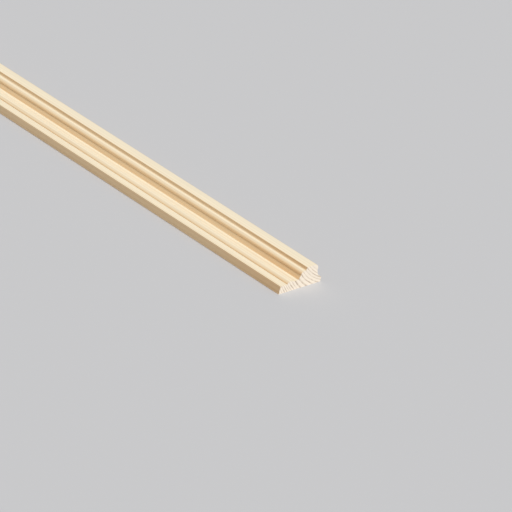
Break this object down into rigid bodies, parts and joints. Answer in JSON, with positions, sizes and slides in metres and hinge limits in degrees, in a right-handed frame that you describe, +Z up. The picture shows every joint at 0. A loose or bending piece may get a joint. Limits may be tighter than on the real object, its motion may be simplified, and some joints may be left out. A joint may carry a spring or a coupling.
{
  "type": "cover strip moulding",
  "caption": "Straight softwood cover strip with a flat back and a stepped, curved face: low front fillet, broad flat, ogee, wide top fillet and a rounded, hollowed rear edge.",
  "frame": {"origin": "centre of the flat back, on the surface that the strip lies on", "axes": "+X along the strip towards the end shown in the picture, +Y across it from the low front edge to the thin rear lip, +Z up from the flat back"},
  "size_m": [2.4, 0.034, 0.012],
  "materials": {
    "pine": "planed, unfinished clear pine"
  },
  "bodies": {
    "root": {"cover_strip": "pine"}
  },
  "joints": []
}
